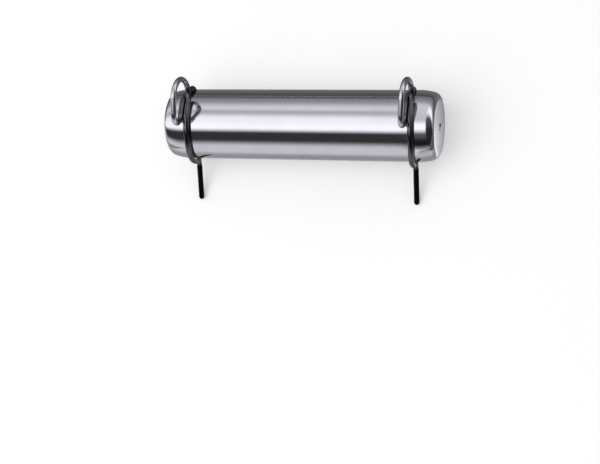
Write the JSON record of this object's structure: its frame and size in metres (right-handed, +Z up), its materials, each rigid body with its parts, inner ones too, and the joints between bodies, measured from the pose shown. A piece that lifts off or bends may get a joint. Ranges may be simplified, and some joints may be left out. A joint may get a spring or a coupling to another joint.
{
  "type": "clevis pin with wire clips",
  "caption": "Headless clevis pin: a plain polished shank with crowned ends, cross-drilled near each end and kept in place by spring wire clips with finger loops.",
  "frame": {"origin": "middle of the pin's axis, halfway along its length", "axes": "+X along the pin towards its right end, -Y the side that the legs of the clips point to, +Z up from the surface the part lies on, which is 12.7 mm below the axis"},
  "size_m": [0.1, 0.0389, 0.0383],
  "materials": {
    "pin_steel": "polished",
    "clip_wire": "polished"
  },
  "bodies": {
    "root": {"pin": "pin_steel", "clip_left": "clip_wire", "clip_right": "clip_wire"}
  },
  "joints": []
}
